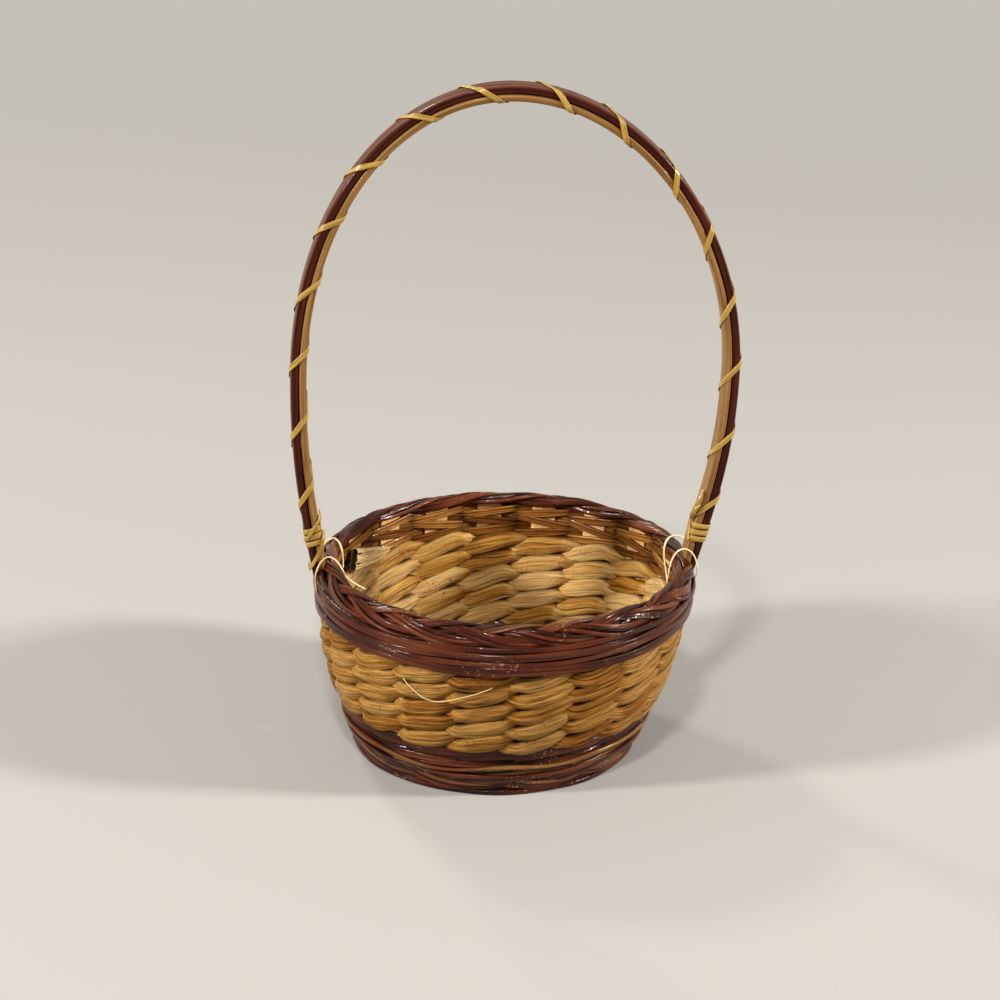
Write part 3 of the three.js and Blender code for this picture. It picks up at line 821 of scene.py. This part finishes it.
# A plait laid on a curved skin: every strand swings between the skin's edges as it goes round,
# a few rounds close it, and each strand is a few rods side by side
def plait(settings, skinAt):
    skins = []
    periods, rounds = settings["periods"], settings["rounds"]
    perPeriod = settings["stationsPerPeriod"]
    swingAngle = 2 * np.pi * np.arange(periods * perPeriod) / perPeriod
    angle = settings["start"] + swingAngle * rounds / periods
    half = settings["length"] / 2
    amplitude = half - settings["margin"]
    segment = (swingAngle / (np.pi / 2)).astype(int)
    sides, square = settings["sides"], settings["squareness"]
    run = settings["radius"]
    slope = amplitude * np.cos(swingAngle) * periods / rounds  # across, per radian round the basket
    norm = np.hypot(slope, run)
    for rod in range(settings["rods"]):
        offset = (rod - (settings["rods"] - 1) / 2) * settings["rodGap"]
        wander = sum(random.uniform(0.12, settings["wander"])
                     * np.sin(k * angle / rounds + random.uniform(0, 6)) for k in (5, 11, 17, 31))
        t = half + amplitude * np.sin(swingAngle) + (offset + wander) * run / norm
        shifted = angle - (offset + wander) * slope / norm / run
        t = np.clip(t, settings["rodRadius"] * 0.6, settings["length"] - settings["rodRadius"] * 0.6)
        depth = settings["depth"] - settings["lift"] * np.sin(2 * swingAngle)
        depth = depth + sum(settings["unevenness"] * np.sin(k * angle / rounds + random.uniform(0, 6))
                            for k in (7, 19))
        centre, outward = skinAt(shifted, t, depth)
        girth = random.uniform(*settings["girths"]) * (1 + 0.12 * np.sin(7 * angle / rounds + rod)
                                                       + 0.08 * np.sin(16 * angle / rounds + 2 * rod))
        radius = settings["rodRadius"] * girth[:, None]
        outline = oval(sides, settings["flatness"] * radius, radius, square, square)
        tone = random.uniform(*settings["tones"], periods * 4 + 1)[segment % (periods * 4)]
        tone = smoothRound(tone, perPeriod // 6 | 1)
        if rod in settings["tanRods"]:
            tone = 0.8 + 0.15 * tone
        # painted shade where the rod sinks below the others, and along its edges
        sunk = np.clip(-np.sin(2 * swingAngle), 0, 1)[:, None]
        shade = np.clip(0.5 * sunk + 0.75 * edgeShade(sides), 0, 0.9)
        skins.append(strand(centre, outward, outline, True, 12, tone, shade))
    return skins


def smoothPath(points, perSpan=12):
    points = np.array(points, float)
    ends = np.vstack([2 * points[0] - points[1], points, 2 * points[-1] - points[-2]])
    share = np.linspace(0, 1, perSpan, endpoint=False)[:, None]
    fine = []
    for k in range(len(points) - 1):
        a, b, c, d = ends[k:k + 4]
        fine.append(0.5 * (2 * b + (c - a) * share + (2 * a - 5 * b + 4 * c - d) * share ** 2
                           + (3 * b - a - 3 * c + d) * share ** 3))
    return np.vstack(fine + [points[-1:]])


# Skin given as points (radius, height), followed by length
def skinFrom(points):
    fine = smoothPath(points)
    reach = pathLength(fine, False)
    slope = tangents(fine, False)
    normal = np.stack([-slope[:, 1], slope[:, 0]], -1)

    # angle round the basket, length down the skin and depth below it
    def at(angle, t, depth):
        facing = unit(interpolate(t, reach, normal))
        place = interpolate(t, reach, fine) - facing * depth[:, None]
        outward = np.stack([facing[:, 0] * np.cos(angle), facing[:, 0] * np.sin(angle), facing[:, 1]], -1)
        return ringPoints(angle, place[:, 0], place[:, 1]), outward

    return at, reach[-1]


# Border: a plait over the rim, with single rods inside it and below it outside

borderPlait = {
    "skin": [(100.0, 112.4), (102.4, 117.4), (107, 119), (111.8, 116.4), (114.6, 109.6), (114.2, 102.6),
             (112, 98.7)],
    "periods": 19,
    "rounds": 5,
    "stationsPerPeriod": 66,
    "start": bowl["firstStake"] + 0.12,
    "length": 28.6,
    "margin": 4.0,
    "radius": 111.0,
    "rods": 3,
    "rodGap": 2.65,
    "rodRadius": 1.5,
    "flatness": 0.8,
    "squareness": 0.7,
    "wander": 0.6,
    "unevenness": 0.28,
    "depth": 3.1,
    "lift": 1.6,
    "sides": 16,
    "girths": (0.84, 1.06),
    "tones": (0.0, 0.82),
    "tanRods": (),  # which of each strand's rods are tan
}
# rods that run straight round: radius, height, half thickness, half width, tone, rise and fall
borderRods = {
    "core": [(104.6, 112.0, 1.1, 1.1, 0.2, 0.3), (107.2, 111.7, 1.1, 1.1, 0.2, 0.3),
             (109.6, 109.4, 1.3, 1.3, 0.2, 0.3), (111.2, 104.6, 1.4, 1.6, 0.2, 0.3)],
    "outside": [(113.4, 105.6, 1.5, 1.9, 0.25, 1.4), (113.8, 102.6, 1.5, 1.7, 0.4, 1.7),
                (113.1, 99.6, 1.4, 1.7, 0.3, 1.4), (112.7, 101.2, 1.5, 1.8, 0.5, 2.3),
                (113.3, 96.8, 1.4, 1.7, 0.42, 1.7), (113.0, 93.6, 1.4, 1.8, 0.22, 1.3),
                (112.6, 90.6, 1.3, 1.8, 0.34, 0.8)],
}
ringAngles = np.linspace(0, 2 * np.pi, 380, endpoint=False)


def ringRod(radius, z, halfThickness, halfWidth, tone, sway):
    angle, sides = ringAngles, 14
    waves = [random.uniform(0, 6) for _ in range(4)]
    rise = 0.6 * np.sin(3 * angle + waves[0]) + 0.4 * np.sin(7 * angle + waves[1])
    centre = ringPoints(angle, radius + 0.3 * np.sin(8 * angle + waves[2]), z + sway * rise)
    girth = 1 + 0.12 * np.sin(11 * angle + waves[3])[:, None]
    outline = oval(sides, halfThickness * girth, halfWidth * girth, 0.7, 0.7)
    tones = tone + 0.3 * np.sin(5 * angle + waves[0]) * np.sin(3 * angle + waves[1])
    # painted shade: a little all round and more along the edges
    return strand(centre, outwardAt(angle), outline, True, 10, tones, 0.1 + 0.7 * edgeShade(sides))


borderSkins = plait(borderPlait, skinFrom(borderPlait["skin"])[0])
borderSkins += [ringRod(*rod) for rod in borderRods["core"] + borderRods["outside"]]
buildPiece("borderPlait", borderSkins, rodMaterial, ["border_braid"])
print("stage: border")

# Foot: a looser plait over the lowest dark rows

footAt, footSkinLength = skinFrom([(wallRadius(17.2) + 4.0, 17.2), (wallRadius(9) + 4.3, 9),
                                   (wallRadius(1) + 4.1, 1.0)])
footPlait = {
    "periods": 10,
    "rounds": 3,
    "stationsPerPeriod": 54,
    "start": 0.3,
    "length": footSkinLength,
    "margin": 3.2,
    "radius": 88.0,
    "rods": 3,
    "rodGap": 2.7,
    "rodRadius": 1.5,
    "flatness": 0.68,
    "squareness": 0.7,
    "wander": 0.34,
    "unevenness": 0.12,
    "depth": 1.7,
    "lift": 0.7,
    "sides": 14,
    "girths": (0.84, 1.06),
    "tones": (0.05, 0.6),
    "tanRods": (0,),
}
# the tan rod wanders up and down as it goes round: degrees, height
tanPath = [(0, 21), (25, 18), (50, 22), (75, 19), (100, 22), (125, 18), (150, 21.5), (175, 19), (200, 21.5),
           (210, 22.8), (218, 21.6), (226, 20), (232, 18.2), (239, 17), (246, 17.3), (253, 18.6), (261, 21.2),
           (269, 22.8), (279, 21.4), (289, 20), (297, 21.6), (305, 23.6), (325, 25), (345, 23)]
tanHeights = smoothRound(np.interp(np.degrees(ringAngles), *zip(*tanPath), period=360), 15)
# single rods: a tan one above the plait, one over it, and a dark one on which the basket stands
footRods = {
    "tan": (wallRadius(tanHeights) + 4.6, tanHeights, 1.2, 1.3, 0.86, 0.3),
    "over": (wallRadius(14.6) + 4.2, 14.4, 1.1, 1.3, 0.35, 0.9),
    "dark": (wallRadius(1.8) + 3.4, 1.9, 1.3, 1.4, 0.25, 0.15),
}
footSkins = plait(footPlait, footAt) + [ringRod(*rod) for rod in footRods.values()]
buildPiece("footPlait", footSkins, rodMaterial)
print("stage: foot")

# Handle: two bent strips and the cane wound round them

handle = {
    "halfWidth": 133.0, "widest": 235.0, "top": 409.5,
    "footHalfWidth": 113.6, "foot": 103.0, "footSlope": 0.25, "legFullness": 50.0,
    "archShare": 0.645, "sway": 5.5, "shift": -1.8, "spans": 480,
    "bowWidth": 16.0, "outerThickness": 4.9, "outerTip": 2.6, "taper": 24.0,
    "gap": 0.04, "innerThickness": 4.75, "innerSink": 5.4, "crown": 0.62, "squareness": 0.42,
}


def archCurve():
    wide, widest, top = handle["halfWidth"], handle["widest"], handle["top"]
    footHalf, foot, full = handle["footHalfWidth"], handle["foot"], handle["legFullness"]
    share = np.linspace(0, 1, 6001)
    down = np.abs(2 * share - 1) / handle["archShare"]
    # half an ellipse, then on each side a leg that curves in to the foot
    turn = np.clip(down, 0, 1) * np.pi / 2
    arch = (wide * np.sin(turn), widest + (top - widest) * np.cos(turn))
    s = np.clip((down - 1) / (1 / handle["archShare"] - 1), 0, 1)
    weights = [(1 - s) ** 3, 3 * s * (1 - s) ** 2, 3 * s ** 2 * (1 - s), s ** 3]
    leg = [(wide, widest), (wide, widest - full), (footHalf + handle["footSlope"] * full, foot + full),
           (footHalf, foot)]
    half, z = (np.where(down < 1, above, sum(w * v for w, v in zip(weights, values)))
               for above, values in zip(arch, zip(*leg)))
    rise = (z - foot) / (top - foot)
    x = bowl["rimCentreX"] + handle["shift"] + handle["sway"] * np.sin(np.pi * rise)
    return np.stack([x + np.sign(share - 0.5) * half, 0 * x, z], -1)


archPoints = archCurve()
archReach = pathLength(archPoints, False)
archLength = archReach[-1]
archSlope = tangents(archPoints, False)


# Place on the handle's outer face at a distance along it, and the way in from there
def archAt(distance):
    place = interpolate(distance, archReach, archPoints)
    slope = unit(interpolate(distance, archReach, archSlope))
    return place, np.stack([slope[:, 2], 0 * distance, -slope[:, 0]], -1)


# Rounded strip, flat on one side and crowned on the other: crest and flat are depths below the outer face,
# as shares of the outer bow's thickness and lengths beyond it
def bowSkin(start, crest, flat, blended):
    distance = np.linspace(start, archLength - start, handle["spans"])
    place, inward = archAt(distance)
    fromTip = np.minimum(distance, archLength - distance)
    outer = np.interp(fromTip, [0, handle["taper"]], [handle["outerTip"], handle["outerThickness"]])
    low, high = (share * outer + beyond for share, beyond in (flat, crest))
    rounded, across = roundSection(36, handle["squareness"], handle["squareness"])
    crown = handle["crown"]
    lifted = np.where(rounded > 0, rounded * crown + 1 - crown, (1 - crown) * (1 + rounded))
    depth = low[:, None] + (high - low)[:, None] * lifted
    points = place[:, None] + inward[:, None] * depth[..., None]
    wobble = 1 + 0.012 * np.sin(distance / 23) + 0.008 * np.sin(distance / 9.7)
    points[..., 1] = across * handle["bowWidth"] / 2 * wobble[:, None]
    # the crest of the outward face takes the painted light colour, by the given share
    return skin(points, place, False, 40, 0.3, 0, blended * smoothStep(0.8, 0.93, lifted))


outerBow = bowSkin(0.0, (0, 0), (1, 0), 1)
innerDepth = handle["gap"] + handle["innerThickness"]
innerBow = bowSkin(handle["innerSink"], (1, innerDepth), (1, handle["gap"]), 0.3)
buildPiece("outerBow", [outerBow], maroonMaterial, ["handle_outer_bow"])
buildPiece("innerBow", [innerBow], tanMaterial, ["handle_inner_bow"])
print("stage: handle bows")

winding = {
    "width": 3.3, "thickness": 0.55, "lift": 0.14, "corner": 2.6,
    "collarTurns": 3, "collarPitch": 4.2, "openTurns": 15.75, "start": 25.77, "phase": 0.25,
    "stationsPerTurn": 48, "unevenness": 1.2,
}


# Flat cane with rounded edges along a path, away from what it lies on
def caneStrand(centre, away, cane, girth):
    outline = oval(10, cane["thickness"] / 2, cane["width"] / 2, 0.7, 0.6)
    return strand(centre, away, outline, False, girth, 0.4)


def windingSkin():
    settings = winding
    collarTurns, openTurns, corner = settings["collarTurns"], settings["openTurns"], settings["corner"]
    turn = np.arange(0, 2 * collarTurns + openTurns, 1 / settings["stationsPerTurn"])
    collar = np.minimum(turn, collarTurns) + np.maximum(turn - collarTurns - openTurns, 0)
    opened = np.clip(turn - collarTurns, 0, openTurns)
    openLength = archLength - 2 * (settings["start"] + collarTurns * settings["collarPitch"])
    distance = settings["start"] + collar * settings["collarPitch"] + opened * openLength / openTurns
    loose = smoothStep(0, 2, opened) * smoothStep(0, 2, openTurns - opened)
    distance = distance + settings["unevenness"] * np.sin(turn * 2.9) * loose
    place, inward = archAt(distance)
    halfDepth = (handle["outerThickness"] + innerDepth) / 2
    # rounded rectangle round both bows: straight runs between quarter circles
    spin = 4 * (turn + settings["phase"])
    quarter = np.floor(spin).astype(int)
    share = spin - quarter
    heading = (quarter + np.clip((share - 0.25) / 0.5, 0, 1)) * np.pi / 2
    facing = np.stack([np.cos(heading), np.sin(heading)], -1)
    corners = np.array([[1, 1], [-1, 1], [-1, -1], [1, -1]])
    here, after, before = (corners[(quarter + step) % 4] for step in (0, 1, -1))
    toNext, toLast = (np.clip(part / 0.5, 0, 0.5)[:, None] for part in (share - 0.75, 0.25 - share))
    middle = here + (after - here) * toNext + (before - here) * toLast
    bendRadius = corner + settings["lift"] + settings["thickness"] / 2
    depth, across = (middle * [halfDepth - corner, handle["bowWidth"] / 2 - corner] + bendRadius * facing).T
    centre = place + inward * (halfDepth + depth)[:, None]
    centre[:, 1] = across
    away = inward * facing[:, :1]
    away[:, 1] = facing[:, 1]
    return caneStrand(centre, away, settings, 8)


buildPiece("caneWinding", [windingSkin()], caneMaterial, ["handle_cane_winding"])
print("stage: winding")

# Ends of the cane that hold the handle's feet: (distance along, depth, across) on the handle
ties = {
    "width": 2.2, "thickness": 0.8, "halfDepth": 5, "halfWidth": 8,
    "left": [(34, 11.4, -5.0), (30, 10.6, -8.6), (25, 8.3, -9.3), (20, 5.0, -9.3), (15.5, 1.4, -9.2),
             (12.5, -1.0, -8.2), (11.5, -1.4, -4.5), (12, -1.3, 1)],
    "leftLoop": [(30, -0.9, -5.0), (33, 2.0, -9.3), (38, 6.5, -9.6), (43, 10.8, -7.5), (46, 11.2, -2.0)],
    "right": [(58, 10.9, -7.0), (53, 11.8, -8.9), (47, 12.6, -8.0), (41, 12.4, -5.0), (35, 11.6, -2.5),
              (29, 10.9, -5.0), (25, 10.6, -8.4)],
    "rightLoop": [(49, 10.6, -8.8), (46, 12.4, -9.3), (41, 13.2, -7.0), (38, 12.4, -3.5), (39, 10.9, 0.5)],
}


def handlePoint(distance, depth, across):
    place, inward = archAt(np.clip(distance, 0, archLength))
    beyond = distance - np.clip(distance, 0, archLength)
    along = np.stack([-inward[:, 2], 0 * distance, inward[:, 0]], -1)
    point = place + along * beyond[:, None] + inward * depth[:, None]
    point[:, 1] = across
    return point, inward


def tieSkin(points, onRight):
    distance, depth, across = smoothPath(points).T
    distance = archLength - distance if onRight else distance
    centre, inward = handlePoint(distance, depth, across)
    middle = (handle["outerThickness"] + handle["innerThickness"]) / 2
    away = inward * (depth - middle)[:, None] / ties["halfDepth"]
    away[:, 1] = across / ties["halfWidth"]
    return caneStrand(centre, unit(away), ties, 6)


tieSkins = [tieSkin(ties[name], name.startswith("right"))
            for name in ("left", "leftLoop", "right", "rightLoop")]
buildPiece("caneTies", tieSkins, caneMaterial)

# Thin cane loops over the border, each through points (degrees round the rim, radius, height)
hoops = {
    "width": 1.25, "thickness": 0.85, "middleRadius": 107, "middleHeight": 110,
    "pieces": {
        ("Left", "Front"): [
            (190, 110.0, 97.5), (188.4, 113.6, 100.0), (187, 115.6, 106.0), (185.8, 115.4, 113.5),
            (185, 112.4, 120.0), (185.2, 108.4, 123.0), (186.4, 104.2, 121.8), (188.2, 101.0, 118.0),
            (190.4, 99.8, 115.2), (194, 100.6, 116.8), (199, 101.6, 118.4), (205, 102.0, 119.3),
            (211, 102.2, 120.0)],
        ("Left", "Back"): [
            (174, 114.8, 113), (171, 112.4, 118.6), (168.5, 109, 121.2), (167, 106, 121.6),
            (168, 102.4, 119.9), (170, 99.9, 116.4), (172, 98.6, 112), (174, 98.0, 107.5)],
        ("Right", "Front"): [
            (-6.8, 113.4, 102.5), (-6.3, 115.6, 109), (-5.9, 115.0, 116.4), (-5.6, 111.8, 122.2),
            (-5.7, 107.2, 124.8), (-6.4, 102.6, 123.3), (-7.6, 99.8, 118.8), (-8.9, 98.8, 113.4),
            (-10.2, 98.3, 108)],
        ("Right", "Back"): [
            (7, 113.6, 119.8), (9.5, 110.6, 121.4), (11, 106.5, 121.0), (10.5, 102.4, 119.8),
            (8, 99.2, 116.6), (4, 97.8, 112), (-1, 97.6, 108.4), (-6, 98.0, 106.0), (-9, 98.4, 104.5)],
    },
}


def hoopSkin(points):
    degrees, radius, z = smoothPath(points).T
    angle = np.radians(degrees)
    centre = ringPoints(angle, radius, z)
    away = centre - ringPoints(angle, hoops["middleRadius"], hoops["middleHeight"] + 0 * z)
    return caneStrand(centre, unit(away), hoops, 5)


for (side, end), points in hoops["pieces"].items():
    replaced = f"cane_hoop_{side}_{end}".lower()
    buildPiece(f"caneHoop{side}{end}", [hoopSkin(points)], hoopMaterial, [replaced])
print("stage: hoops")

# Cut end of a leaf strand, turned in over the inner side at the left
leafEnd = {
    # degrees round, height, half width, half thickness, reach from the wall
    "path": [(129, 91.0, 2.5, 0.8, -2.2), (134, 91.4, 4.2, 1.5, -3.4), (139, 92.6, 5.6, 1.9, -4.6),
             (144, 94.4, 6.4, 1.9, -5.6), (149, 96.6, 6.9, 1.8, -6.4), (153, 98.8, 7.3, 1.9, -6.9),
             (155.5, 100.2, 7.5, 2.0, -7.2)],
    "stations": 60,
    "sides": 40,
    "tone": 1.6,
    "mouthDepth": 18,
    "mouthWidth": 0.9,
}


def leafEndSkin():
    settings = leafEnd
    count = settings["stations"]
    share = np.linspace(0, 1, count)
    path = np.array(settings["path"])
    degrees, z, half, thick, reach = interpolate(share, np.linspace(0, 1, len(path)), path).T
    angle = np.radians(degrees)
    centre = ringPoints(angle, wallRadius(z) + reach, z)
    lift, across = roundSection(settings["sides"], 0.6, 0.7)
    folds = 0.16 * np.sin(across * 9 + 1.2) + 0.1 * np.sin(across * 17 + 3 * share[:, None])
    outline = np.stack([(lift + folds * np.maximum(lift, 0)) * thick[:, None], across * half[:, None]], -1)
    sections = sweep(centre, -outwardAt(angle), outline, False)
    # the cut end is open: its skin turns in and runs back a little way
    inside = []
    for station in (count - 1, count - 1 - settings["mouthDepth"]):
        middle = sections[station].mean(0)
        inside.append(middle + (sections[station] - middle) * settings["mouthWidth"])
    sections = np.concatenate([sections, inside])
    centre = np.concatenate([centre, centre[-1:], centre[-1:]])
    # painted shade inside the open mouth and in the hollows of the folds
    dark = np.full((2, settings["sides"]), 0.95)
    shade = np.concatenate([np.clip(np.maximum(-folds, 0) * 1.6, 0, 0.95), dark])
    return skin(sections, centre, False, 30, settings["tone"], shade)


buildPiece("leafEnd", [leafEndSkin()], leafMaterial)
print("stage: leaf end")

# One pale fibre that has come away from a stitch outside: degrees round, reach from the wall, height
looseFibre = {
    "width": 0.46, "thickness": 0.4,
    "points": [(233.5, 5.2, 78.5), (236, 6.8, 75.6), (239, 7.7, 72.4), (242, 8.1, 69.8), (245.6, 8.2, 69.0),
               (249.6, 8.2, 71.0), (253.3, 8.1, 73.6), (257.2, 7.8, 76.4), (260.5, 7.0, 79.0),
               (263.5, 5.2, 81.6)],
}


def looseFibreSkin():
    degrees, reach, z = smoothPath(looseFibre["points"]).T
    angle = np.radians(degrees)
    centre = ringPoints(angle, wallRadius(z) + reach, z)
    return caneStrand(centre, outwardAt(angle), looseFibre, 5)


buildPiece("looseFibre", [looseFibreSkin()], hoopMaterial)
print("stage: loose fibre")

# Base: flat spokes woven over and under by a rod that spirals outwards

base = {
    "middle": 2.3,  # height
    # spokes: where they start and end, and their half widths at the start and where they are widest
    "spokeStart": 3.0, "spokeReach": 80.6, "spokeInner": 0.65, "spokeOuter": 6.5, "spokeWidest": 75.4,
    "spokeHalfThickness": 0.5,
    # the rod that spirals out from one radius to the other
    "innerRadius": 9.0, "outerRadius": 73.9, "rodHalfWidth": 1.75, "rodHalfThickness": 0.95,
    "rodPitch": 3.9, "wave": 1.35, "stationsPerSpoke": 12,
    # the small flat coils that lock the spokes in the middle, above and below them
    "hub": {"turns": 3.6, "stationsPerTurn": 40, "radius": 0.6, "pitch": 2.3, "offset": 1.2,
            "halfWidth": 1.2, "halfThickness": 0.8},
    # rods that close the ring between the mat and the foot
    "rods": [(76.6, 3.6, 1.2, 1.5, 0.5, 0.2), (76.9, 1.9, 1.2, 1.4, 0.3, 0.1),
             (79.2, 1.9, 1.3, 1.6, 0.4, 0.1)],
}
upward = np.array([0, 0, 1.0])


def basePoints(radius, angle, z):
    return np.stack([axisX(0) + radius * np.cos(angle), radius * np.sin(angle), z + 0 * angle], -1)


def baseSpoke(angle):
    start, widest = base["spokeStart"], base["spokeWidest"]
    reach = np.linspace(start, base["spokeReach"], 14)
    half = np.interp(reach, [start, widest], [base["spokeInner"], base["spokeOuter"]])[:, None]
    direction = np.array([math.cos(angle), math.sin(angle), 0])
    centre = np.array([axisX(0), 0, base["middle"]]) + reach[:, None] * direction
    outline = np.stack([np.array([1, 1, -1, -1]) * base["spokeHalfThickness"] + 0 * half,
                        np.array([-1, 1, 1, -1]) * half], -1)
    return strand(centre, upward, outline, False, 20, 0.9)


def baseSpiral():
    rounds = (base["outerRadius"] - base["innerRadius"]) / base["rodPitch"]
    perRound = bowl["stakes"] * base["stationsPerSpoke"]
    turn = np.arange(int(rounds * perRound)) / perRound
    wave = np.cos(np.pi * bowl["stakes"] * turn)
    centre = basePoints(base["innerRadius"] + base["rodPitch"] * turn, bowl["firstStake"] + 2 * np.pi * turn,
                        base["middle"] + base["wave"] * signedPower(wave, 0.7))
    outline = oval(10, base["rodHalfThickness"], base["rodHalfWidth"])
    tone = 0.45 + 0.3 * np.sin(turn * 5.1) * np.sin(turn * 1.7)
    # painted shade where the rod passes from over a spoke to under the next
    return strand(centre, upward, outline, False, 9, tone, (1 - np.abs(wave[:, None])) * 0.5)


def baseHub(side):
    hub = base["hub"]
    turn = np.arange(0, hub["turns"], 1 / hub["stationsPerTurn"])
    z = base["middle"] + side * hub["offset"]
    centre = basePoints(hub["radius"] + hub["pitch"] * turn, 2 * np.pi * turn, z)
    outline = oval(8, hub["halfThickness"], hub["halfWidth"])
    return strand(centre, upward, outline, False, 7, 0.6)


spokes = [baseSpoke(bowl["firstStake"] + spoke * stakePitch) for spoke in range(bowl["stakes"])]
buildPiece("baseSpokes", spokes, leafMaterial)
baseSkins = [baseSpiral(), baseHub(1), baseHub(-1)] + [ringRod(*rod) for rod in base["rods"]]
buildPiece("baseWeave", baseSkins, rodMaterial, ["base_mat"])
print("stage: base")
